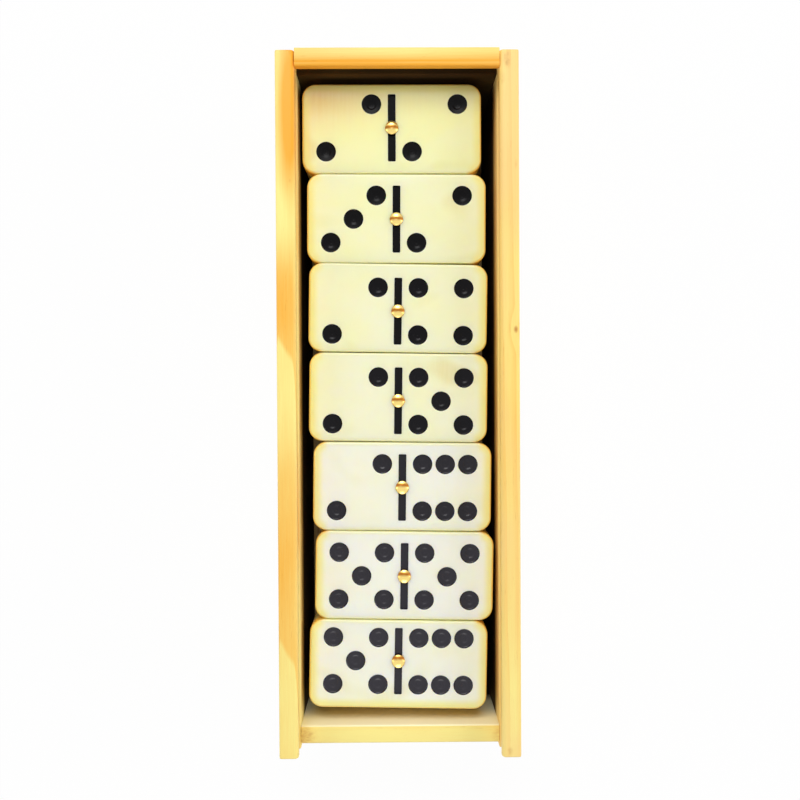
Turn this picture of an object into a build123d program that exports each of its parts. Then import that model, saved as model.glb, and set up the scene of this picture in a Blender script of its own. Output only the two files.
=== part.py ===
from build123d import *
import math
import os

# Open domino box of pine boards, packed with its set of twenty-eight tiles.
# Millimetres. X runs across the box, +Y points to the far end board, +Z is up.
# The origin is the middle of the box's underside.

os.makedirs("parts", exist_ok=True)

# Box boards
box_width = 67.0
box_length = 196.0
box_height = 54.4
side_thick = 5.3
far_thick = 5.2
near_thick = 5.1
far_stand_out = 0.6  # the far board stands out past the ends of the side boards
near_setback = 1.6  # the side boards run on past the near board as two ears
edge_round = 0.5

# Groove for the sliding lid, and rabbet for the base panel
lip_height = 2.6  # wood left above the groove
groove_height = 4.2
groove_depth = 3.0
rabbet_depth = 2.6
panel_thick = 3.0
panel_play = 0.1  # room round the base panel in its rabbet

# Flat wire brads that pin each side board to the two end boards
brad_width = 1.2
brad_thick = 1.0
brad_length = 18.0
brad_head = 2.2  # the head is wider than the wire one way only
brad_head_thick = 0.6
brad_play = 0.02
brad_heights = (10.0, 26.0, 42.0)

# Tiles
tile_length = 50.8
tile_width = 25.1
tile_thick = 10.0
tile_corner = 3.8  # radius of the corners, seen from above
tile_edge = 0.9  # how far the upper and lower edges are broken
column_pitch = 25.45
layer_pitch = 11.0  # a tile, the spinner head on it, and a hair of room
far_gap = 2.05  # between the far board and the first tile

# Dished pips, and the bar between the two halves of a tile
half_centre = 12.2
pip_column = 6.46  # from the middle of a half to its outer pips, along the tile
pip_row = 6.7
pip_radius = 2.8
pip_depth = 0.9
pip_slope = 1.5  # how far in from the pip's wall its floor levels out
pip_wall = 0.25  # height of the pip's wall above the slope
bar_length = 19.0
bar_width = 2.2
bar_depth = 0.7

# Brass spinner, a dome-headed pin over the middle of the bar
head_radius = 1.9
head_rise = 0.9
dome_cuts = ((0.9, 0.75), (0.5, 0.4))  # inward and downward steps that round the head
shank_radius = 0.85
shank_length = 5.5
shank_play = 0.02

# Small round forms have this many flats, more on the top layer, which is in view
pip_sides = (6, 12)
shank_sides = (6, 8)
head_sides = (8, 16)
corner_cuts = (2, 3)  # each cut doubles the flats round a tile's corner

# How each column of tiles lies in the box, from the far end to the near end
column_shift = (-1.5, -0.3, 0.0, -0.05, 0.95, 1.4, -0.45)
column_turn = (-0.1, -0.4, -1.05, -0.95, -0.8, -1.05, -1.25)  # degrees
top_cut_shift = (0.2, -0.2, -0.9, -0.95, -0.25, -0.2, 0.95)  # pips, bar and pin off the middle

# Left and right number of each tile, from the far end, lowest layer first
layers = (
    ((0, 0), (0, 1), (0, 2), (0, 3), (0, 4), (0, 5), (0, 6)),
    ((1, 1), (1, 2), (1, 3), (1, 4), (1, 5), (1, 6), (6, 6)),
    ((3, 3), (3, 4), (3, 5), (3, 6), (4, 4), (4, 5), (4, 6)),
    ((2, 2), (3, 2), (2, 4), (2, 5), (2, 6), (5, 5), (5, 6)),
)

# Pips of each number, in steps of one column along the tile and one row across it
pip_patterns = (
    (),
    ((0, 0),),
    ((-1, -1), (1, 1)),
    ((-1, -1), (0, 0), (1, 1)),
    ((-1, -1), (-1, 1), (1, -1), (1, 1)),
    ((-1, -1), (-1, 1), (0, 0), (1, -1), (1, 1)),
    ((-1, -1), (-1, 1), (0, -1), (0, 1), (1, -1), (1, 1)),
)

# Derived places
inner_width = box_width - 2 * side_thick
far_face = box_length / 2 - far_thick
near_face = -box_length / 2 + near_setback + near_thick
side_far_end = box_length / 2 - far_stand_out
groove_floor = box_height - lip_height - groove_height
panel_far = far_face + rabbet_depth - panel_play
panel_near = near_face - rabbet_depth + panel_play
first_column = far_face - far_gap - tile_width / 2
far_brad_row = far_face + far_thick / 2
near_brad_row = near_face - near_thick / 2
brad_reach = brad_length - side_thick  # how far a brad goes into an end board

# A rectangle of a board's section is placed by the middle of its lower side
low_mid = (Align.CENTER, Align.MIN)


def save(piece, name):
    piece.part.label = name
    export_step(piece.part, f"parts/{name}.step")


def brad_planes(half_span, row):
    """Planes on both ends of a board, one for each brad, facing out of the board."""
    return [
        Plane(origin=(side * half_span, row, height), x_dir=(0, 1, 0), z_dir=(side, 0, 0))
        for side in (-1, 1)
        for height in brad_heights
    ]


# Left side board: a length of milled moulding, with its groove and rabbet run right through
with BuildPart() as side_board_left:
    with BuildSketch(Plane.XZ.offset(-side_far_end)):
        with Locations((-(inner_width + side_thick) / 2, 0)):
            Rectangle(side_thick, box_height, align=low_mid)
        with Locations((-inner_width / 2, groove_floor)):
            Rectangle(2 * groove_depth, groove_height, align=low_mid, mode=Mode.SUBTRACT)
        with Locations((-inner_width / 2, 0)):
            Rectangle(2 * rabbet_depth, panel_thick, align=low_mid, mode=Mode.SUBTRACT)
    extrude(amount=box_length - far_stand_out)
    outer_edges = side_board_left.faces().sort_by(Axis.X)[0].edges()
    rim_edges = side_board_left.faces().sort_by(Axis.Z)[-1].edges()
    inner_rim_edge = rim_edges.filter_by(Axis.Y).sort_by(Axis.X)[-1:]
    fillet(outer_edges + rim_edges.filter_by(Axis.X) + inner_rim_edge, edge_round)
    for row in (far_brad_row, near_brad_row):
        with BuildSketch(*brad_planes(box_width / 2, row)[: len(brad_heights)]):
            Rectangle(brad_width + 2 * brad_play, brad_thick + 2 * brad_play)
        extrude(amount=-side_thick, mode=Mode.SUBTRACT)
        with BuildSketch(*brad_planes(box_width / 2, row)[: len(brad_heights)]):
            Rectangle(brad_width + 2 * brad_play, brad_head + 2 * brad_play)
        extrude(amount=-brad_head_thick, mode=Mode.SUBTRACT)
save(side_board_left, "side_board_left")

# Right side board: the same moulding the other way round
with BuildPart() as side_board_right:
    mirror(side_board_left.part, about=Plane.YZ)
save(side_board_right, "side_board_right")

# Far end board: as high as the sides, with the lid groove run on across its inner face
with BuildPart() as far_end_board:
    with BuildSketch(Plane.YZ.offset(-inner_width / 2)):
        with Locations((far_face + far_thick / 2, 0)):
            Rectangle(far_thick, box_height, align=low_mid)
        with Locations((far_face, groove_floor)):
            Rectangle(2 * groove_depth, groove_height, align=low_mid, mode=Mode.SUBTRACT)
        with Locations((far_face, 0)):
            Rectangle(2 * rabbet_depth, panel_thick, align=low_mid, mode=Mode.SUBTRACT)
    extrude(amount=inner_width)
    fillet(far_end_board.faces().sort_by(Axis.Z)[-1].edges().filter_by(Axis.X), edge_round)
    with BuildSketch(*brad_planes(inner_width / 2, far_brad_row)):
        Rectangle(brad_width + 2 * brad_play, brad_thick + 2 * brad_play)
    extrude(amount=-brad_reach - brad_play, mode=Mode.SUBTRACT)
save(far_end_board, "far_end_board")

# Near end board: cut down to the groove's floor, so that the lid slides in over it
with BuildPart() as near_end_board:
    with BuildSketch(Plane.YZ.offset(-inner_width / 2)):
        with Locations((near_face - near_thick / 2, 0)):
            Rectangle(near_thick, groove_floor, align=low_mid)
        with Locations((near_face, 0)):
            Rectangle(2 * rabbet_depth, panel_thick, align=low_mid, mode=Mode.SUBTRACT)
    extrude(amount=inner_width)
    fillet(near_end_board.faces().sort_by(Axis.Z)[-1].edges().filter_by(Axis.X), edge_round)
    with BuildSketch(*brad_planes(inner_width / 2, near_brad_row)):
        Rectangle(brad_width + 2 * brad_play, brad_thick + 2 * brad_play)
    extrude(amount=-brad_reach - brad_play, mode=Mode.SUBTRACT)
save(near_end_board, "near_end_board")

# Base panel: thin plywood let into the rabbets, flush with the boards underneath
with BuildPart() as bottom_panel:
    with BuildSketch():
        with Locations((0, (panel_far + panel_near) / 2)):
            Rectangle(inner_width + 2 * (rabbet_depth - panel_play), panel_far - panel_near)
    extrude(amount=panel_thick)
save(bottom_panel, "bottom_panel")

# Corner brads: each lies through a side board, in the end grain of an end board
with BuildPart() as corner_brads:
    for row in (far_brad_row, near_brad_row):
        with BuildSketch(*brad_planes(box_width / 2, row)):
            Rectangle(brad_width, brad_thick)
        extrude(amount=-brad_length)
        with BuildSketch(*brad_planes(box_width / 2, row)):
            Rectangle(brad_width, brad_head)
        extrude(amount=-brad_head_thick)
save(corner_brads, "corner_brads")


def pip_places(left, right, shift):
    """Places of the pips on a tile's face, from the numbers of its two halves."""
    return [
        (middle + column * pip_column, row * pip_row + shift)
        for middle, number in ((-half_centre, left), (half_centre, right))
        for column, row in pip_patterns[number]
    ]


def cut_corner(outline, cuts):
    """Rounds the corners of a sketch to tile_corner, each cut halving the turn at a vertex."""
    turn = math.radians(90)
    for _ in range(cuts):
        chamfer(outline.vertices(), tile_corner * (math.tan(turn / 2) - math.tan(turn / 4)))
        turn /= 2


# The cutter for one pip: a short prism, dished where its floor meets its wall
with BuildPart() as pip_cutter:
    with BuildSketch():
        RegularPolygon(pip_radius, pip_sides[True])
    extrude(amount=-pip_depth)
    pip_floor = pip_cutter.faces().sort_by(Axis.Z)[0]
    chamfer(pip_floor.edges(), pip_slope, pip_depth - pip_wall, reference=pip_floor)


def make_tile(bed, left, right, in_view, shift):
    """A tile on the plane called bed, its cuts shift off its middle, with a hole for its spinner."""
    face = bed.offset(tile_thick)
    with BuildPart() as tile:
        with BuildSketch(bed) as outline:
            Rectangle(tile_length, tile_width)
            cut_corner(outline, corner_cuts[in_view])
        extrude(amount=tile_thick)
        if in_view:
            chamfer(tile.faces().filter_by(bed).edges(), tile_edge)
        with BuildSketch(face):
            with Locations((0, shift)):
                Rectangle(bar_width, bar_length)
        extrude(amount=-bar_depth, mode=Mode.SUBTRACT)
        with BuildSketch(face):
            with Locations((0, shift)):
                RegularPolygon(shank_radius + shank_play, shank_sides[in_view])
        extrude(amount=-shank_length - shank_play, mode=Mode.SUBTRACT)
        pips = pip_places(left, right, shift)
        if pips and in_view:
            with Locations(face):
                with Locations(*pips):
                    add(pip_cutter.part, mode=Mode.SUBTRACT)
        elif pips:
            with BuildSketch(face):
                with Locations(*pips):
                    RegularPolygon(pip_radius, pip_sides[in_view])
            extrude(amount=-pip_depth, mode=Mode.SUBTRACT)
    return tile


def make_spinner(face, in_view, shift):
    """A brass pin driven into a tile, with its head standing on the tile's face."""
    with BuildPart() as spinner:
        with BuildSketch(face):
            with Locations((0, shift)):
                RegularPolygon(head_radius, head_sides[in_view])
        extrude(amount=head_rise)
        if in_view:
            for inward, downward in dome_cuts:
                crown = spinner.faces().sort_by(Axis.Z)[-1]
                chamfer(crown.edges(), inward, downward, reference=crown)
        with BuildSketch(face):
            with Locations((0, shift)):
                RegularPolygon(shank_radius, shank_sides[in_view])
        extrude(amount=-shank_length)
    return spinner


for level, tiles in enumerate(layers):
    in_view = level == len(layers) - 1
    for place, (left, right) in enumerate(tiles):
        spot = (column_shift[place], first_column - place * column_pitch, panel_thick + level * layer_pitch)
        bed = Plane(Location(spot, (0, 0, column_turn[place])))
        shift = top_cut_shift[place] * in_view
        tile = make_tile(bed, left, right, in_view, shift)
        spinner = make_spinner(bed.offset(tile_thick), in_view, shift)
        numbers = f"{min(left, right)}_{max(left, right)}"
        if level == 0:
            # A lowest tile keeps its spinner in its own file, as a second solid
            tile.part.children = [tile.part.solid(), spinner.part.solid()]
        save(tile, f"tile_{numbers}")
        if level > 0:
            save(spinner, f"spinner_{numbers}")
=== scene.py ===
import math
import bmesh
import bpy
from mathutils import Matrix, Vector


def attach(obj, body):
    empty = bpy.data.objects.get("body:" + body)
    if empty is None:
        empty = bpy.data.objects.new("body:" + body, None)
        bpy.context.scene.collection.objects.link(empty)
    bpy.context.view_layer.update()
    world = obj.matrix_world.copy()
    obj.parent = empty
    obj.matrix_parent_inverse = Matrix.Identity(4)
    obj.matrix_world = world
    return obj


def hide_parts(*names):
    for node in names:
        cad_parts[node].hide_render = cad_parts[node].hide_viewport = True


# An open pine box packed with a double-six set of dominoes, seen from straight above.
# Lengths are typed in millimetres and made metres by mm. +Y points to the far end board.

mm = 0.001
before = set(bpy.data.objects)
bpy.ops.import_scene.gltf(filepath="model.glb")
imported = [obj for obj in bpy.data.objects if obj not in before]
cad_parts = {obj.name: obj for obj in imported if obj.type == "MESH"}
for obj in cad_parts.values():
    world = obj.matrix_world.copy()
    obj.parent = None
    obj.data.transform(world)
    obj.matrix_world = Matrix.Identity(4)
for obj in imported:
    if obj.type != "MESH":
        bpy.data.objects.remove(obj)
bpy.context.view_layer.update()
print("frame loaded,", len(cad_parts), "nodes")


# Shader tools

def linear(value):
    # one channel of a screen colour, 0 to 255, as the linear value that a shader takes
    share = value / 255
    return share / 12.92 if value < 11 else ((share + 0.055) / 1.055) ** 2.4


def tint(red, green, blue):
    return linear(red), linear(green), linear(blue), 1


class Wire:
    # a socket that does sums, so that 1 - mask or 0.3 * grain adds its own Math nodes
    def __init__(self, sheet, socket):
        self.sheet, self.socket = sheet, socket

    def sum(self, operation, *values):
        return self.sheet.node("ShaderNodeMath", {"operation": operation}, dict(enumerate(values)))

    def __add__(self, other):
        return self.sum("ADD", self, other)

    def __mul__(self, other):
        return self.sum("MULTIPLY", self, other)

    def __sub__(self, other):
        return self.sum("SUBTRACT", self, other)

    def __rsub__(self, other):
        return self.sum("SUBTRACT", other, self)

    def __truediv__(self, other):
        return self.sum("DIVIDE", self, other)

    def __pow__(self, other):
        return self.sum("POWER", self, other)

    __radd__ = __add__
    __rmul__ = __mul__

    def size(self):
        return self.sum("ABSOLUTE", self)

    def atMost(self, other):
        return self.sum("MINIMUM", self, other)

    def atLeast(self, other):
        return self.sum("MAXIMUM", self, other)

    def clamped(self):
        return self.atLeast(0).atMost(1)

    def rise(self, low, high):
        # 0 below low, 1 above high, with a soft step between them
        return self.sheet.node("ShaderNodeMapRange", {"interpolation_type": "SMOOTHSTEP"},
                               {"Value": self, "From Min": low, "From Max": high})

    def fade(self):
        # from the distance to a mark over its size: 1 in its middle, 0 a little past its edge
        return 1 - self.rise(0.2, 1.3)


class Sheet:
    # one node tree and the few ways that nodes are added to it
    def __init__(self, tree):
        self.tree = tree
        tree.nodes.clear()

    def node(self, kind, settings=None, inputs=None, output=0):
        made = self.tree.nodes.new(kind)
        for key, value in (settings or {}).items():
            setattr(made, key, value)
        for key, value in (inputs or {}).items():
            if isinstance(value, Wire):
                self.tree.links.new(value.socket, made.inputs[key])
            else:
                made.inputs[key].default_value = value
        return Wire(self, made.outputs[output])

    def end(self, kind, shader):
        # the output node has no socket of its own to give back
        self.tree.links.new(shader.socket, self.tree.nodes.new(kind).inputs["Surface"])

    def blend(self, factor, first, second):
        return self.node("ShaderNodeMix", {"data_type": "RGBA"}, {0: factor, 6: first, 7: second}, 2)

    def split(self, vector):
        parts = self.node("ShaderNodeSeparateXYZ", None, {0: vector})
        return [Wire(self, socket) for socket in parts.socket.node.outputs]

    def join(self, x, y, z):
        return self.node("ShaderNodeCombineXYZ", None, {0: x, 1: y, 2: z})

    def millimetres(self, turn=0.0):
        # Object coordinates in millimetres, turned about Z
        place = self.node("ShaderNodeTexCoord", None, None, "Object")
        return self.node("ShaderNodeMapping", None,
                         {"Vector": place, "Rotation": (0, 0, turn), "Scale": (1 / mm, 1 / mm, 1 / mm)})

    def attribute(self, name, output="Fac"):
        return self.node("ShaderNodeAttribute", {"attribute_name": name}, None, output)

    def noise(self, x, y, z, detail=2.0, rough=0.5, seed=0.0):
        inputs = {"Vector": self.join(x, y, z), "W": seed, "Scale": 1.0, "Detail": detail, "Roughness": rough}
        return self.node("ShaderNodeTexNoise", {"noise_dimensions": "4D"}, inputs)

    def background(self):
        # 1 for the rays that show the white background, and 0 for those that light the object
        rays = self.node("ShaderNodeLightPath").socket.node.outputs
        seen = Wire(self, rays["Is Camera Ray"])
        for kind in ("Is Glossy Ray", "Is Transmission Ray"):
            seen = seen.atLeast(Wire(self, rays[kind]))
        return seen


def newFinish(name):
    material = bpy.data.materials.new(name)
    material.use_nodes = True
    return material, Sheet(material.node_tree)


def surface(sheet, bump=None, **values):
    # the Principled shader on the material's output; a bump is (height, depth in mm, strength)
    inputs = {key.replace("_", " "): value for key, value in values.items()}
    if bump:
        height, depth, strength = bump
        inputs["Normal"] = sheet.node("ShaderNodeBump", None,
                                      {"Height": height, "Distance": depth * mm, "Strength": strength})
    sheet.end("ShaderNodeOutputMaterial", sheet.node("ShaderNodeBsdfPrincipled", None, inputs))


# Finishes

pine = {
    "pale": tint(255, 240, 148), "amber": tint(250, 176, 54), "deep": tint(200, 116, 34),
    "knot": tint(176, 84, 20),
    "tan": tint(252, 214, 148),  # pinker wood, away from the rings
    # painted light: the pale colour laid on the faces that look into the box
    "insideLight": tint(255, 251, 214),
    "stain": tint(188, 120, 44),  # handled corners and joints
    "insideShade": tint(22, 7, 1),  # painted shade: the wood down inside the box is darkened to near black
    "fibre": 0.22, "ducts": 0.5, "roughness": 0.45, "shine": 0.15, "polish": 0.12,
    "figured": (44, 53),  # the rings show more strongly from the first height up to the second
    "streakHeight": 8,
    "stainMiddle": 51, "stainReach": (4.5, 5.0),  # stains lie this far above and below this height
}

# How each board was sawn. The pith line lies outside the board, (across, up), and lean tilts the rings.
# Streaks are (x, y, z, across, along, strength) and knots (x, y, z, radius), both on the turned board.
# Stains are (x, y, across, along, strength) as the box lies.
# Each board also gives the heights over which the painted shade inside the box fades out, and how far its
# inward faces are paled as painted light.
timber = {
    "left": {"turn": 0.0, "pith": (-21, -70), "ringWidth": 4.2, "offset": -2.32, "lean": -0.052, "wander": 1.2,
             "seed": 11.3, "tone": 0.12, "contrast": 0.75, "tan": 0.0, "insideShade": (36, 43), "insideLight": 0.1,
             "streaks": [(-29.6, 80, 54, 3.4, 26, 1.1), (-31, 30, 54, 5, 14, 0.2), (-31, -32, 54, 6, 26, 0.45),
                         (-33, 50, 54, 5, 12, -0.3)],
             "stains": [(-28.25, 95.4, 0.35, 3.0, 0.8), (-29.4, 61.5, 0.5, 0.7, 0.3)], "knots": []},
    "right": {"turn": 0.0, "pith": (-60, 30), "ringWidth": 3.1, "offset": 0.4, "lean": 0.012, "wander": 3.0,
              "seed": 4.7, "tone": 0.28, "contrast": 0.3, "tan": 0.55, "insideShade": (36, 43), "insideLight": 0.0,
              "streaks": [(31, 60, 54, 5, 14, 0.1), (31, -5, 54, 5, 30, 0.12), (32, -90, 54, 6, 30, -0.2)],
              "stains": [(30.2, 94.6, 1.2, 2.6, 0.55), (29.0, 89.5, 0.8, 1.8, 0.25),
                         (28.25, 95.4, 0.3, 3.0, 0.5), (30.4, -96.2, 0.9, 1.2, 0.4),
                         (32.6, 66, 0.4, 1.6, 0.2)],
              "knots": [(32.4, 20.5, 54.0, 0.9)]},
    "far": {"turn": math.pi / 2, "pith": (-150, 40), "ringWidth": 5.6, "offset": -2.0, "lean": 0.0,
            "wander": 2.6, "seed": 8.1, "tone": 0.25, "contrast": 0.6, "tan": 0.1, "insideShade": (51.6, 51.95),
            "insideLight": 0.0, "streaks": [(-92.4, -6, 53, 2.2, 70, 1.0)], "stains": [], "knots": []},
    "near": {"turn": math.pi / 2, "pith": (160, -30), "ringWidth": 4.8, "offset": 1.0, "lean": 0.02,
             "wander": 3.0, "seed": 15.9, "tone": 0.26, "contrast": 0.35, "tan": 0.15, "insideShade": (22, 30),
             "insideLight": 0.95, "streaks": [(94, 0, 46, 6, 80, -0.3)],
             "stains": [(-27.2, -94.2, 3.4, 2.8, 0.6), (27.6, -94.4, 1.6, 2.6, 0.3)], "knots": []},
}


def pineFinish(name, board):
    # Solid timber: one set of rings runs through the board, so its faces and end grain agree
    material, sheet = newFinish(name)
    x, y, z = sheet.split(sheet.millimetres(board["turn"]))
    seed = board["seed"]
    slow = sheet.noise(x * 0.03, y * 0.014, z * 0.03, 2.0, 0.5, seed)
    pithX, pithZ = board["pith"]
    reach = ((x - pithX) ** 2 + (z - pithZ) ** 2) ** 0.5
    reach = reach + (slow - 0.5) * board["wander"] + y * board["lean"] + board["offset"]
    knotShade = None
    for kx, ky, kz, radius in board["knots"]:
        away = (((x - kx) ** 2 + (z - kz) ** 2) + ((y - ky) * 0.6) ** 2) ** 0.5
        reach = reach + (1 - away.rise(0, radius * 5)) * radius * 2
        knotShade = (1 - away.rise(radius * 0.3, radius)) * 0.8
    phase = reach / board["ringWidth"]
    ring = phase.sum("FRACT", phase)
    ringShade = sheet.node("ShaderNodeTexWhiteNoise", {"noise_dimensions": "1D"},
                           {"W": phase.sum("FLOOR", phase) + seed})
    late = ring.rise(0.4, 0.96) * (1 - ring.rise(0.965, 1.0)) * (ringShade * 0.4 + 0.6)
    fibre = sheet.noise(x * 4.5, y * 0.09, z * 4.5, 4.0, 0.62, seed)
    patch = sheet.noise(x * 0.09, y * 0.03, z * 0.05, 2.0, 0.5, seed + 3)
    ducts = sheet.noise(x * 7, y * 0.3, z * 7, 1.0, 0.5, seed + 5).rise(0.66, 0.78)
    figure = (z.rise(*pine["figured"]) * 0.5 + 0.5) * board["contrast"]
    warm = late * figure + (patch - 0.45) * 0.5 + (fibre - 0.5) * pine["fibre"] * 2 + board["tone"]
    for sx, sy, sz, across, along, strength in board["streaks"]:
        flat = ((x - sx) / across) ** 2 + ((y - sy) / along) ** 2
        away = (flat + ((z - sz) / pine["streakHeight"]) ** 2) ** 0.5
        warm = warm + away.fade() * strength
    colour = sheet.blend(warm.clamped(), pine["pale"], pine["amber"])
    colour = sheet.blend(patch.rise(0.3, 0.7) * board["tan"], colour, pine["tan"])
    colour = sheet.blend((ducts * pine["ducts"] * (late + 0.3)).atMost(1), colour, pine["deep"])
    if knotShade:
        colour = sheet.blend(knotShade, colour, pine["knot"])
    boxX, boxY, height = sheet.split(sheet.millimetres())
    specks = sheet.noise(x * 1.3, y * 0.6, z * 1.3, 3.0, 0.6, seed + 9).rise(0.3, 0.75)
    for sx, sy, across, along, strength in board["stains"]:
        away = (((boxX - sx) / across) ** 2 + ((boxY - sy) / along) ** 2) ** 0.5
        offMiddle = (height - pine["stainMiddle"]).size()
        spread = away.fade() * (1 - offMiddle.rise(*pine["stainReach"])) * (specks * 0.75 + 0.25)
        colour = sheet.blend((spread * strength).atMost(1), colour, pine["stain"])
    # painted light: the faces that look into the box are paled, most on the near board, to stand for the bright
    # light on them
    facingIn = ((1 - boxX.size().rise(innerFace + 0.1, innerFace + 1.0))
           * boxY.rise(nearFace - 0.5, nearFace - 0.1)
           * (1 - boxY.rise(farFace + 0.05, farFace + 0.4))
           * (1 - height.rise(box["height"] - 0.8, box["height"] - 0.1)))
    colour = sheet.blend(facingIn * board["insideLight"] * (0.85 + patch * 0.3), colour, pine["insideLight"])
    # painted shade: below the lip the inner faces are darkened to near black, and so is the lid groove in them
    sideGroove, farGroove = innerFace + box["grooveDepth"], farFace + box["grooveDepth"]
    inside = ((1 - boxX.size().rise(sideGroove + 0.1, sideGroove + 0.2))
              * boxY.rise(nearFace - 0.2, nearFace - 0.1)
              * (1 - boxY.rise(farGroove + 0.1, farGroove + 0.2))
              * (1 - height.rise(box["grooveTop"] + 0.1, box["grooveTop"] + 0.2)))
    # the painted shade inside the box, fading out between the board's two heights
    insideShade = (inside * (1 - height.rise(*board["insideShade"])) * (0.88 + patch * 0.2)).atMost(0.97)
    colour = sheet.blend(insideShade, colour, pine["insideShade"])
    surface(sheet, (fibre * 0.6 + late * 0.1 - ducts * 0.3, 0.08, 0.5), Base_Color=colour,
            Roughness=pine["roughness"] + (fibre - 0.5) * 0.3 + insideShade * 0.4, Specular_IOR_Level=pine["shine"],
            Coat_Weight=(1 - insideShade) * pine["polish"], Coat_Roughness=0.3)
    return material


plywood = {
    "face": tint(240, 208, 146), "streak": tint(214, 166, 100), "core": tint(186, 132, 74),
    "ply": 1.0, "glueLine": 0.05,
}


def plywoodFinish():
    # Three plies: the two faces run along the panel, and the core runs across it
    material, sheet = newFinish("birch plywood")
    x, y, z = sheet.split(sheet.millimetres())
    along = sheet.noise(x * 1.1, y * 0.05, z, 4.0, 0.6, 2)
    across = sheet.noise(x * 0.05, y * 2.4, z * 2.4, 3.0, 0.6, 4)
    flecks = sheet.noise(x * 5, y * 0.5, z, 1.0, 0.5, 6).rise(0.64, 0.76)
    ply, glue = plywood["ply"], plywood["glueLine"]
    core = z.rise(ply - glue, ply + glue) * (1 - z.rise(ply * 2 - glue, ply * 2 + glue))
    colour = sheet.blend(along.rise(0.35, 0.7), plywood["face"], plywood["streak"])
    colour = sheet.blend(flecks * 0.4, colour, plywood["core"])
    colour = sheet.blend(core * (0.6 + across * 0.4), colour, plywood["core"])
    surface(sheet, (along + flecks * 0.5, 0.06, 0.4), Base_Color=colour, Roughness=0.55 + (along - 0.5) * 0.2)
    return material


ivory = {
    "face": tint(254, 253, 234), "warm": tint(255, 252, 188), "olive": tint(216, 196, 118),
    "firstTileShade": tint(240, 206, 124),  # painted shade: the far side of the first tile, under the far board
    "reflectionBand": tint(255, 238, 148),  # painted warm reflection of the wood, inside the rounded ends
    # painted light: edge is a warm reflection of the wood at the rounded rim, seam a pale glow along the edges
    # where tiles touch, and side a warm reflection of the wood down the sides
    "edge": tint(250, 188, 84), "seamGlow": tint(255, 248, 186), "side": tint(255, 234, 166), "roughness": 0.24,
    "glow": 0.8, "glowDepth": 4.0, "glowTint": (1.0, 0.85, 0.5),  # how light spreads under the surface
}


def ivoryFinish():
    # Cast resin: clouded cream with faint sawn streaks. Painted light: warm reflection of the wood where it
    # rounds over at the ends and down the sides, a pale glow along the touching edges, and painted shade on the
    # first tile's far side
    material, sheet = newFinish("ivory resin")
    x, y, z = sheet.split(sheet.attribute("tilePlace", "Vector"))
    batch, creamAndShade, openSide = [sheet.attribute(name) for name in ("batch", "creamAndShade", "openSide")]
    cloud = sheet.noise(x * 0.06, y * 0.09, z * 0.1, 2.0, 0.5, batch)
    streak = sheet.noise(x * 1.3, y * 0.07, z * 0.2, 3.0, 0.55, batch + 7)
    blot = sheet.noise(x * 0.05, y * 0.07, z * 0.05, 1.0, 0.5, batch + 13).rise(0.58, 0.74)
    scuffs = sheet.noise(x * 0.9, y * 2.6, z * 2, 3.0, 0.7, batch + 19).rise(0.6, 0.8)
    halfLength, halfWidth, corner = tile["length"] / 2, tile["width"] / 2, tile["corner"]
    endReach = x.size() - (halfLength - corner)
    sideReach = y.size() - (halfWidth - corner)
    inset = corner - (endReach.atLeast(0) ** 2 + sideReach.atLeast(0) ** 2) ** 0.5  # how far inside the outline
    openReach = (y * openSide - (halfWidth - corner)).rise(0, 1.5)
    outer = endReach.rise(-1.0, 1.5).atLeast(openReach)  # the ends, and a side that no other tile lies against
    depth = (z * -1).rise(1.5, 6.0)
    # painted shade on the far side of the first tile, where the far board shades it
    farShade = openSide.atLeast(0) * y.rise(-9, 13) * ((x * -1).rise(-12, 25) * 0.55 + 0.3) * (streak * 0.5 + 0.75)
    # the resin's own cream, which on the top layer also carries painted shade toward the far end
    colour = sheet.blend((creamAndShade + (cloud - 0.5) * 0.9).clamped(), ivory["face"], ivory["warm"])
    colour = sheet.blend(blot * (0.2 + streak * 0.4), colour, ivory["olive"])
    colour = sheet.blend((streak - 0.5).atLeast(0) * 0.5, colour, ivory["warm"])
    colour = sheet.blend(farShade.atMost(1), colour, ivory["firstTileShade"])
    # painted light: a pale yellow glow along the long edges where tiles touch
    colour = sheet.blend((1 - inset.rise(0.2, 1.3)) * (1 - outer) * 0.9, colour, ivory["seamGlow"])
    # painted warm reflection of the wood on the rounded ends and on a side that no tile lies against
    colour = sheet.blend((1 - inset.rise(0.7, 3.3)) * outer * 0.9, colour, ivory["reflectionBand"])
    colour = sheet.blend((1 - inset.rise(0.05, 0.75)) * outer * 0.85, colour, ivory["edge"])
    # painted warm reflection of the wood, growing down the sides below the face
    colour = sheet.blend(depth * 0.6, colour, ivory["side"])
    surface(sheet, (scuffs * 0.5 + cloud * 0.3, 0.02, 0.25), Base_Color=colour,
            Roughness=ivory["roughness"] + scuffs * 0.14 + (cloud - 0.5) * 0.08,
            Subsurface_Weight=ivory["glow"], Subsurface_Scale=ivory["glowDepth"] * mm,
            Subsurface_Radius=ivory["glowTint"])
    return material


paint = {
    # grey is a painted reflection, laid on the tiles toward the near end
    "black": tint(7, 6, 8), "grey": tint(40, 37, 45), "dust": tint(110, 106, 104),
    "roughness": 0.24, "shine": 0.1, "polish": 0.5, "polishRoughness": 0.26,
}


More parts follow.
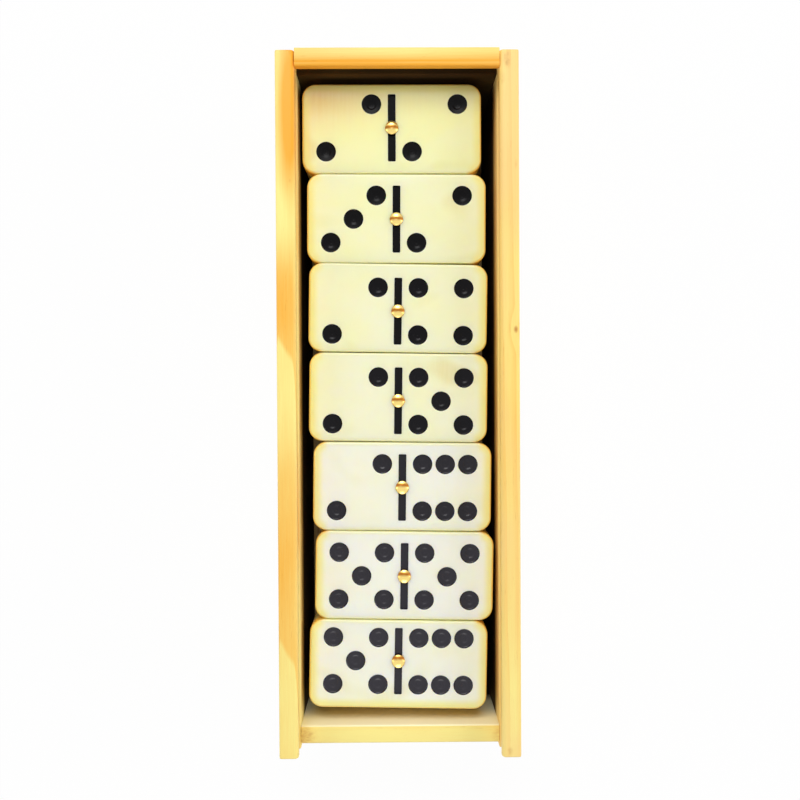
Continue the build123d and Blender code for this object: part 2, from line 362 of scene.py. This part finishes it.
def paintFinish():
    # Enamel in the drilled pips and the bar, greyer toward the near end as a painted reflection
    material, sheet = newFinish("black enamel")
    x, y, z = sheet.split(sheet.attribute("tilePlace", "Vector"))
    paintedSheen = sheet.attribute("paintedSheen")
    mottle = sheet.noise(x * 1.6, y * 1.6, z * 1.6, 3.0, 0.6, 1)
    dust = sheet.noise(x * 6, y * 6, z * 6, 2.0, 0.6, 3).rise(0.58, 0.75)
    # painted reflection: the enamel greys on the tiles toward the near end
    colour = sheet.blend(paintedSheen * (mottle * 0.6 + 0.7), paint["black"], paint["grey"])
    colour = sheet.blend(dust * 0.04, colour, paint["dust"])
    surface(sheet, (mottle + dust * 0.4, 0.02, 0.3), Base_Color=colour,
            Roughness=paint["roughness"] + (mottle - 0.5) * 0.2, Specular_IOR_Level=paint["shine"],
            Coat_Weight=paintedSheen * paint["polish"], Coat_Roughness=paint["polishRoughness"])
    return material


# tarnish is the colour of both the real tarnish and the painted dark reflection band
brass = {"bright": tint(246, 218, 132), "tarnishAndReflection": tint(146, 84, 16), "roughness": 0.22}


def brassFinish():
    # Turned brass, bright on both sides of a painted dark reflection band across the head, with real tarnish
    # round the rim and in blots
    material, sheet = newFinish("rubbed brass")
    x, y, z = sheet.split(sheet.attribute("tilePlace", "Vector"))
    reflectionBand, batch = sheet.attribute("reflectionBand"), sheet.attribute("batch")
    radius = (x ** 2 + y ** 2) ** 0.5
    blots = sheet.noise(x * 1.3, y * 1.3, z * 1.3, 3.0, 0.6, batch)
    turning = sheet.noise(radius * 9, 0.0, z * 9, 2.0, 0.5, 4)
    # painted reflection: a dark band across the head, placed for each tile
    bandAway = (y + (x ** 2) * 0.07 - reflectionBand + (blots - 0.5) * 0.5).size()
    tarnishAndReflection = ((1 - bandAway.rise(0.1, 0.95)) * 0.95).atLeast(radius.rise(1.6, 1.95) * 0.55)
    tarnishAndReflection = tarnishAndReflection.atLeast(blots.rise(0.62, 0.8) * 0.3)
    colour = sheet.blend(tarnishAndReflection, brass["bright"], brass["tarnishAndReflection"])
    surface(sheet, (turning, 0.01, 0.3), Base_Color=colour, Metallic=1.0,
            Roughness=brass["roughness"] + tarnishAndReflection * 0.25 + turning * 0.06)
    return material


steel = {"bright": tint(176, 174, 170), "dull": tint(112, 104, 96)}


def steelFinish():
    # Drawn flat wire, brushed along its length, dulled where it was driven in
    material, sheet = newFinish("drawn steel wire")
    x, y, z = sheet.split(sheet.millimetres())
    drawn = sheet.noise(x * 0.4, y * 9, z * 9, 3.0, 0.6, 1)
    dull = sheet.noise(x, y, z, 2.0, 0.5, 2).rise(0.4, 0.7)
    colour = sheet.blend(dull, steel["bright"], steel["dull"])
    surface(sheet, (drawn, 0.02, 0.4), Base_Color=colour, Metallic=1.0, Roughness=0.34 + drawn * 0.2)
    return material


# Mesh tools

def convexEdges(shape):
    # the outside corners of a solid; inside corners are left crisp
    bmesh.ops.recalc_face_normals(shape, faces=shape.faces[:])
    return [e for e in shape.edges if e.is_manifold and e.calc_face_angle_signed(0) > 0.6]


def soften(shape, edges, radius, segments):
    bmesh.ops.bevel(shape, geom=edges, offset=radius, offset_type="OFFSET", segments=segments, profile=0.5,
                    affect="EDGES", material=-1, clamp_overlap=True)


def pushUp(shape, faces, step):
    made = bmesh.ops.extrude_face_region(shape, geom=faces)["geom"]
    verts = [v for v in made if isinstance(v, bmesh.types.BMVert)]
    bmesh.ops.translate(shape, verts=verts, vec=step)


def brick(shape, size, centre):
    # a block in a shape that may already hold others
    made = bmesh.ops.create_cube(shape, size=1.0)["verts"]
    bmesh.ops.scale(shape, vec=size, verts=made)
    bmesh.ops.translate(shape, vec=centre, verts=made)


def turned(shape, profile, steps):
    # a solid of revolution about Z from (radius, height) points that start and end on the axis
    verts = [shape.verts.new((r, 0, h)) for r, h in profile]
    edges = [shape.edges.new(pair) for pair in zip(verts, verts[1:])]
    bmesh.ops.spin(shape, geom=verts + edges, cent=(0, 0, 0), axis=(0, 0, 1), dvec=(0, 0, 0), angle=math.tau,
                   steps=steps, use_merge=True, use_normal_flip=False, use_duplicate=False)
    bmesh.ops.remove_doubles(shape, verts=shape.verts[:], dist=0.0004)
    bmesh.ops.recalc_face_normals(shape, faces=shape.faces[:])


def asMesh(shape, name):
    # millimetres become metres here, and nowhere else
    bmesh.ops.scale(shape, vec=(mm, mm, mm), verts=shape.verts[:])
    mesh = bpy.data.meshes.new(name)
    shape.to_mesh(mesh)
    shape.free()
    return mesh


def carve(mesh, cutter):
    # cuts one mesh out of another with the exact solver, and gives back the result
    body, tool = bpy.data.objects.new("body being cut", mesh), bpy.data.objects.new("cutter", cutter)
    for helper in (body, tool):
        bpy.context.scene.collection.objects.link(helper)
    cut = body.modifiers.new("cut", "BOOLEAN")
    cut.object, cut.operation, cut.solver = tool, "DIFFERENCE", "EXACT"
    made = bpy.data.meshes.new_from_object(body.evaluated_get(bpy.context.evaluated_depsgraph_get()))
    for helper in (body, tool):
        bpy.data.objects.remove(helper)
    return made


def shade(mesh):
    # faces square to an axis stay flat, and the curved ones between them are smooth
    for face in mesh.polygons:
        face.use_smooth = max(abs(c) for c in face.normal) < 0.9999
    mesh.set_sharp_from_angle(angle=math.radians(50))


def showPiece(mesh, name, body, nodes, materials):
    piece = bpy.data.objects.new(name, mesh)
    bpy.context.scene.collection.objects.link(piece)
    mesh.name = name
    for material in materials[len(mesh.materials):]:
        mesh.materials.append(material)
    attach(piece, body)
    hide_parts(*nodes)


# Box boards

box = {
    "width": 67.0, "farEnd": 98.0, "sideFarEnd": 97.4, "nearEnd": -98.0, "height": 54.4,
    "sideThick": 5.3, "farThick": 5.2, "nearThick": 5.1, "nearSetback": 1.6,
    "grooveFloor": 47.6, "grooveTop": 51.8, "grooveDepth": 3.0,
    "rabbet": 2.6, "panelThick": 3.0, "panelPlay": 0.1,
    "round": 0.5,  # radius of the handled edges
    "lipRound": 1.1,  # the side boards' inner upper edge, worn by the lid
    "jointRound": 0.14,  # edges that meet another board, which show as a fine line
    "panelRound": 0.2,
}
innerFace = box["width"] / 2 - box["sideThick"]
farFace = box["farEnd"] - box["farThick"]
nearFace = box["nearEnd"] + box["nearSetback"] + box["nearThick"]
tolerance = 0.01  # lengths that differ by less count as the same

brad = {
    "width": 1.2, "thick": 1.0, "length": 18.0, "head": 2.2, "headThick": 0.6, "sunk": 0.12, "round": 0.12,
    "gap": 0.1,  # how much larger than the head its pocket is
    "overlap": 0.01,  # how much wider than the wire the head is, so that no two faces coincide
    "heights": (10.0, 26.0, 42.0), "rows": (95.4, -93.85),
}


def profileBoard(profile, place, run):
    # a board from the outline of its section: place puts a point of it in space, run is its length
    shape = bmesh.new()
    face = shape.faces.new([shape.verts.new(place(*point)) for point in profile])
    pushUp(shape, [face], run)
    return shape


def makeSideBoard(name, node, side, material):
    outer, groove, rabbet = box["width"] / 2, innerFace + box["grooveDepth"], innerFace + box["rabbet"]
    profile = [(outer, 0), (rabbet, 0), (rabbet, box["panelThick"]), (innerFace, box["panelThick"]),
               (innerFace, box["grooveFloor"]), (groove, box["grooveFloor"]), (groove, box["grooveTop"]),
               (innerFace, box["grooveTop"]), (innerFace, box["height"]), (outer, box["height"])]
    run = (0, box["sideFarEnd"] - box["nearEnd"], 0)
    shape = profileBoard(profile, lambda x, z: (side * x, box["nearEnd"], z), run)
    lip = [e for e in shape.edges if all(abs(v.co.x - side * innerFace) < tolerance
                                         and v.co.z > box["height"] - tolerance for v in e.verts)]
    soften(shape, lip, box["lipRound"], 5)
    soften(shape, convexEdges(shape), box["round"], 4)
    pockets = bmesh.new()
    pocket = (brad["headThick"] * 2, brad["width"] + brad["gap"], brad["head"] + brad["gap"])
    for row in brad["rows"]:
        for height in brad["heights"]:
            # the wire is set upright, so the head's long way is up the board
            brick(pockets, pocket, (side * outer, row, height))
    mesh = carve(asMesh(shape, name), asMesh(pockets, "pockets"))
    shade(mesh)
    showPiece(mesh, name, "box", [node], [material])


def makeEndBoard(name, node, profile, material):
    shape = profileBoard(profile, lambda y, z: (-innerFace, y, z), (2 * innerFace, 0, 0))
    long = [e for e in convexEdges(shape) if abs(e.verts[0].co.x - e.verts[1].co.x) > innerFace]
    soften(shape, long, box["round"], 4)
    ends = [e for e in convexEdges(shape) if all(abs(abs(v.co.x) - innerFace) < tolerance for v in e.verts)]
    soften(shape, ends, box["jointRound"], 2)
    mesh = asMesh(shape, name)
    shade(mesh)
    showPiece(mesh, name, "box", [node], [material])


makeSideBoard("left_side_board", "side_board_left", -1, pineFinish("pine, left side", timber["left"]))
makeSideBoard("right_side_board", "side_board_right", 1, pineFinish("pine, right side", timber["right"]))
makeEndBoard("far_board", "far_end_board",
             [(farFace + box["rabbet"], 0), (box["farEnd"], 0), (box["farEnd"], box["height"]),
              (farFace, box["height"]), (farFace, box["grooveTop"]),
              (farFace + box["grooveDepth"], box["grooveTop"]),
              (farFace + box["grooveDepth"], box["grooveFloor"]), (farFace, box["grooveFloor"]),
              (farFace, box["panelThick"]), (farFace + box["rabbet"], box["panelThick"])],
             pineFinish("pine, far end", timber["far"]))
makeEndBoard("near_board", "near_end_board",
             [(nearFace - box["nearThick"], 0), (nearFace - box["rabbet"], 0),
              (nearFace - box["rabbet"], box["panelThick"]), (nearFace, box["panelThick"]),
              (nearFace, box["grooveFloor"]), (nearFace - box["nearThick"], box["grooveFloor"])],
             pineFinish("pine, near end", timber["near"]))

panel = bmesh.new()
halfPanel = innerFace + box["rabbet"] - box["panelPlay"]
panelNear = nearFace - box["rabbet"] + box["panelPlay"]
panelFar = farFace + box["rabbet"] - box["panelPlay"]
brick(panel, (2 * halfPanel, panelFar - panelNear, box["panelThick"]),
      (0, (panelNear + panelFar) / 2, box["panelThick"] / 2))
soften(panel, convexEdges(panel), box["panelRound"], 2)
panelMesh = asMesh(panel, "base_panel")
shade(panelMesh)
showPiece(panelMesh, "base_panel", "box", ["bottom_panel"], [plywoodFinish()])

brads = bmesh.new()
tip, top = box["width"] / 2 - brad["length"], box["width"] / 2 - brad["sunk"]
for side in (-1, 1):
    for row in brad["rows"]:
        for height in brad["heights"]:
            brick(brads, (top - tip, brad["width"], brad["thick"]), (side * (top + tip) / 2, row, height))
            brick(brads, (brad["headThick"], brad["width"] + brad["overlap"], brad["head"]),
                  (side * (top - brad["headThick"] / 2), row, height))
soften(brads, convexEdges(brads), brad["round"], 2)
bradMesh = asMesh(brads, "flat_wire_brads")
shade(bradMesh)
showPiece(bradMesh, "flat_wire_brads", "box", ["corner_brads"], [steelFinish()])
print("box boards, base panel and brads made")


# Dominoes

tile = {
    "length": 50.8, "width": 25.2, "thick": 10.0, "corner": 3.8, "edge": 0.6,
    "pitch": 25.45, "firstRow": 78.2, "layer": 11.0,
    "shift": (-1.5, -0.3, 0.0, -0.05, 0.95, 1.4, -0.45),  # how each column lies, from the far end
    "turn": (-0.1, -0.4, -1.05, -0.95, -0.8, -1.05, -1.25),
    "topCutShift": (0.2, -0.2, -0.9, -0.95, -0.25, -0.2, 0.95),
    "creamAndShade": (  # how yellow the resin of each tile is, lowest layer first; on the top layer it falls from the far end to the near end as painted shade
        (0.4, 0.6, 0.3, 0.7, 0.5, 0.2, 0.6),
        (0.7, 0.3, 0.5, 0.4, 0.6, 0.5, 0.2),
        (0.5, 0.6, 0.4, 0.2, 0.7, 0.3, 0.5),
        (0.95, 0.75, 0.65, 0.55, 0.15, 0.1, 0.15),
    ),
    "paintedSheen": (0.0, 0.0, 0.05, 0.15, 0.6, 0.85, 1.0),  # how far the enamel is greyed by a painted reflection, from the far end
    "layers": (
        ((0, 0), (0, 1), (0, 2), (0, 3), (0, 4), (0, 5), (0, 6)),
        ((1, 1), (1, 2), (1, 3), (1, 4), (1, 5), (1, 6), (6, 6)),
        ((3, 3), (3, 4), (3, 5), (3, 6), (4, 4), (4, 5), (4, 6)),
        ((2, 2), (3, 2), (2, 4), (2, 5), (2, 6), (5, 5), (5, 6)),
    ),
}

pip = {
    "halfCentre": 12.2, "column": 6.46, "row": 6.7, "radius": 2.8,
    # from the middle out: the drill's point, a shallow bowl, the step at its rim, a ring, and a curved wall
    "pointRadius": 0.16, "pointDepth": 0.1, "wallRise": 0.9,
    "bowl": 1.1, "bowlDepth": 0.92, "bowlRise": 0.07, "step": 0.3, "stepRise": 0.2,
    "ringRise": 0.08, "ringEdge": 2.35, "turns": 3, "ridge": 0.008,
    "patterns": (
        (),
        ((0, 0),),
        ((-1, -1), (1, 1)),
        ((-1, -1), (0, 0), (1, 1)),
        ((-1, -1), (-1, 1), (1, -1), (1, 1)),
        ((-1, -1), (-1, 1), (0, 0), (1, -1), (1, 1)),
        ((-1, -1), (-1, 1), (0, -1), (0, 1), (1, -1), (1, 1)),
    ),
}

bar = {"length": 19.0, "width": 2.2, "depth": 0.7, "corner": 0.3}
spinner = {
    "radius": 1.9, "rise": 0.9, "rim": 0.3, "round": 0.12, "dimple": 0.42, "dimpleDepth": 0.06,
    "shank": 0.85, "length": 5.5, "pointLength": 0.3,
    "bands": (0.15, 0.2, 0.35, 0.5, 0.85, 0.85, 1.15),  # painted reflection: how far off the middle the dark band lies on each head
}
cutterRise = 0.6  # how far a cutter stands above the face that it cuts
roundSteps, domeSteps, arcSteps = 40, 10, 4  # facets round a turned piece, across a crown, in a small curve


def pipCutter():
    shape = bmesh.new()
    bottom = -pip["bowlDepth"]
    profile = [(0, bottom - pip["pointDepth"]), (pip["pointRadius"], bottom)]
    for step in range(1, arcSteps + 1):
        share = step / arcSteps
        profile.append((pip["bowl"] * share, bottom + pip["bowlRise"] * share ** 2))
    ringStart, ringFloor = pip["bowl"] + pip["step"], bottom + pip["bowlRise"] + pip["stepRise"]
    profile.append((ringStart, ringFloor))
    ringSteps = pip["turns"] * 2
    for step in range(1, ringSteps + 1):
        share = step / ringSteps
        radius = ringStart + (pip["ringEdge"] - ringStart) * share
        profile.append((radius, ringFloor + pip["ringRise"] * share + pip["ridge"] * (step % 2)))
    edge, low = pip["ringEdge"], ringFloor + pip["ringRise"]
    for step in range(1, arcSteps + 1):
        turn = math.pi / 2 * step / arcSteps
        radius = edge + (pip["radius"] - edge) * math.sin(turn)
        profile.append((radius, low - low * pip["wallRise"] * (1 - math.cos(turn))))
    profile += [(pip["radius"], cutterRise), (0, cutterRise)]
    turned(shape, profile, roundSteps)
    return shape


def barCutter():
    # the groove that the spinner's pin stands in
    groove = bmesh.new()
    brick(groove, (bar["width"], bar["length"], bar["depth"] + cutterRise),
          (0, 0, (cutterRise - bar["depth"]) / 2))
    upright = [e for e in groove.edges if abs(e.verts[0].co.z - e.verts[1].co.z) > 0.5]
    soften(groove, upright, bar["corner"], 3)
    return groove


def makeTileBody():
    shape = bmesh.new()
    bmesh.ops.create_grid(shape, x_segments=1, y_segments=1, size=1.0)
    bmesh.ops.scale(shape, vec=(tile["length"] / 2, tile["width"] / 2, 1), verts=shape.verts[:])
    bmesh.ops.bevel(shape, geom=shape.verts[:], offset=tile["corner"], offset_type="OFFSET", segments=9,
                    profile=0.5, affect="VERTICES", material=-1, clamp_overlap=True)
    bmesh.ops.translate(shape, vec=(0, 0, -tile["thick"]), verts=shape.verts[:])
    pushUp(shape, shape.faces[:], (0, 0, tile["thick"]))
    bmesh.ops.recalc_face_normals(shape, faces=shape.faces[:])
    rims = [e for e in shape.edges if e.calc_face_angle(0) > 1.2]
    soften(shape, rims, tile["edge"], 5)
    return shape


tilePattern = asMesh(makeTileBody(), "tile body")
pipPattern = asMesh(pipCutter(), "pip cutter")
barPattern = asMesh(barCutter(), "bar cutter")

# the crown is a shallow dome, rounded over into an upright rim
spinnerShape = bmesh.new()
domeReach = spinner["radius"] - spinner["round"]
domeRise = spinner["rise"] - spinner["rim"] - spinner["round"] * 0.5
domeRadius = (domeReach ** 2 + domeRise ** 2) / (2 * domeRise)
dome = [(0, spinner["rise"] - spinner["dimpleDepth"]),
        (spinner["dimple"] * 0.5, spinner["rise"] - spinner["dimpleDepth"] * 0.75)]
for step in range(domeSteps + 1):
    radius = spinner["dimple"] + (domeReach - spinner["dimple"]) * step / domeSteps
    dome.append((radius, spinner["rise"] - domeRadius + math.sqrt(domeRadius ** 2 - radius ** 2)))
dome += [(spinner["radius"] - spinner["round"] * 0.3, spinner["rim"] + spinner["round"] * 0.15),
         (spinner["radius"], spinner["rim"] - spinner["round"] * 0.6),
         (spinner["radius"], 0), (spinner["shank"], 0),
         (spinner["shank"], spinner["pointLength"] - spinner["length"]),
         (spinner["shank"] * 0.6, -spinner["length"]), (0, -spinner["length"])]
turned(spinnerShape, dome, roundSteps)
spinnerPattern = asMesh(spinnerShape, "spinner")


def writePlace(mesh, values):
    # keeps each point's place on its own tile, in millimetres, and the values that its resin, enamel and brass
    # finishes read, painted light and shade among them
    place = mesh.attributes.new("tilePlace", "FLOAT_VECTOR", "POINT")
    place.data.foreach_set("vector", [c / mm for v in mesh.vertices for c in v.co])
    for name, value in values.items():
        number = mesh.attributes.new(name, "FLOAT", "POINT")
        number.data.foreach_set("value", [value] * len(mesh.vertices))


def makeTile(left, right, numbers, cutShift, bed, values, materials):
    cutters = bmesh.new()
    cutters.from_mesh(barPattern)
    for middle, number in ((-pip["halfCentre"], left), (pip["halfCentre"], right)):
        for column, row in pip["patterns"][number]:
            first = len(cutters.verts)
            cutters.from_mesh(pipPattern)
            cutters.verts.ensure_lookup_table()
            spot = Vector((middle + column * pip["column"], row * pip["row"], 0)) * mm
            bmesh.ops.translate(cutters, vec=spot, verts=cutters.verts[first:])
    bmesh.ops.translate(cutters, vec=(0, cutShift * mm, 0), verts=cutters.verts[:])
    for face in cutters.faces:
        face.material_index = 1  # the walls that a cutter leaves are enamelled
    cutter = bpy.data.meshes.new("tile cutter")
    cutters.to_mesh(cutter)
    cutters.free()
    body = tilePattern.copy()
    for mesh in (body, cutter):
        for material in materials:
            mesh.materials.append(material)
    mesh = carve(body, cutter)
    shade(mesh)
    writePlace(mesh, values)
    mesh.transform(bed)
    showPiece(mesh, f"domino_tile_{numbers}", f"domino_{numbers}", [f"tile_{numbers}"],
              materials)


def makeSpinner(numbers, cutShift, bed, values, material, inTileNode):
    mesh = spinnerPattern.copy()
    shade(mesh)
    writePlace(mesh, values)
    mesh.transform(bed @ Matrix.Translation((0, cutShift * mm, 0)))
    node = f"tile_{numbers}" if inTileNode else f"spinner_{numbers}"
    showPiece(mesh, f"brass_spinner_{numbers}", f"domino_{numbers}", [node], [material])


tileMaterials = [ivoryFinish(), paintFinish()]
brassMaterial = brassFinish()
for level, row in enumerate(tile["layers"]):
    for place, (left, right) in enumerate(row):
        numbers = f"{min(left, right)}_{max(left, right)}"
        face = box["panelThick"] + level * tile["layer"] + tile["thick"]
        spot = Vector((tile["shift"][place], tile["firstRow"] - place * tile["pitch"], face)) * mm
        bed = Matrix.Translation(spot) @ Matrix.Rotation(math.radians(tile["turn"][place]), 4, "Z")
        batch = level * 37.0 + place * 5.3  # gives each tile clouds and blots of its own
        onTop = level == len(tile["layers"]) - 1
        cutShift = tile["topCutShift"][place] if onTop else 0.0
        openSide = {0: 1.0, len(row) - 1: -1.0}.get(place, 0.0)  # which long side lies against no other tile
        values = {"batch": batch, "creamAndShade": tile["creamAndShade"][level][place], "openSide": openSide,
                  "paintedSheen": tile["paintedSheen"][place]}
        makeTile(left, right, numbers, cutShift, bed, values, tileMaterials)
        marks = {"batch": batch, "reflectionBand": spinner["bands"][place]}
        makeSpinner(numbers, cutShift, bed, marks, brassMaterial, level == 0)
    print("layer", level + 1, "of dominoes made")


# Stage, lights and camera

studio = {
    "floorSize": 6.0, "floorShow": 0.96, "paper": 0.86, "skyLevel": 0.31,
    "aim": (0, 0, 0.04),  # where the softboxes point
    "softboxes": {  # place, size, power
        "far softbox": ((-0.1, 1.05, 1.15), 0.8, 14.0),
        "near softbox": ((0.0, -1.35, 0.62), 0.8, 4.9),
        "left softbox": ((-1.35, 0.0, 0.62), 0.8, 4.6),
        "right softbox": ((1.35, 0.1, 0.62), 0.8, 8.8),
    },
}

floorShape = bmesh.new()
bmesh.ops.create_grid(floorShape, x_segments=1, y_segments=1, size=studio["floorSize"] / 2)
floorMesh = bpy.data.meshes.new("studio_floor")
floorShape.to_mesh(floorMesh)
floorShape.free()
floor = bpy.data.objects.new("studio_floor", floorMesh)
bpy.context.scene.collection.objects.link(floor)
floorMaterial, sheet = newFinish("white paper")
white = (1, 1, 1, 1)
paper = sheet.node("ShaderNodeBsdfDiffuse", None, {"Color": (studio["paper"],) * 3 + (1,)})
glow = sheet.node("ShaderNodeEmission", None, {"Color": white, "Strength": 1.0})
shown = sheet.node("ShaderNodeMixShader", None,
                   {0: sheet.background() * studio["floorShow"], 1: paper, 2: glow})
sheet.end("ShaderNodeOutputMaterial", shown)
floorMesh.materials.append(floorMaterial)

world = bpy.data.worlds.new("studio")
bpy.context.scene.world = world
world.use_nodes = True
sky = Sheet(world.node_tree)
strength = sky.background() * (1 - studio["skyLevel"]) + studio["skyLevel"]
light = sky.node("ShaderNodeBackground", None, {"Color": white, "Strength": strength})
sky.end("ShaderNodeOutputWorld", light)

for name, (place, size, power) in studio["softboxes"].items():
    lamp = bpy.data.lights.new(name, "AREA")
    lamp.size, lamp.energy = size, power
    holder = bpy.data.objects.new(name, lamp)
    holder.location = place
    holder.rotation_euler = (Vector(studio["aim"]) - Vector(place)).to_track_quat("-Z", "Y").to_euler()
    bpy.context.scene.collection.objects.link(holder)

view = {"place": (-0.00139, 0.00399, 0.2928), "tilt": (-0.663, -0.427, -0.307), "lens": 38.98, "sensor": 36.0}
lens = bpy.data.cameras.new("overhead camera")
lens.lens, lens.sensor_width = view["lens"], view["sensor"]
camera = bpy.data.objects.new("overhead camera", lens)
camera.location = view["place"]
camera.rotation_euler = [math.radians(a) for a in view["tilt"]]
bpy.context.scene.collection.objects.link(camera)
bpy.context.scene.camera = camera
bpy.context.scene.view_settings.view_transform = "Standard"
print("stage, lights and camera set")
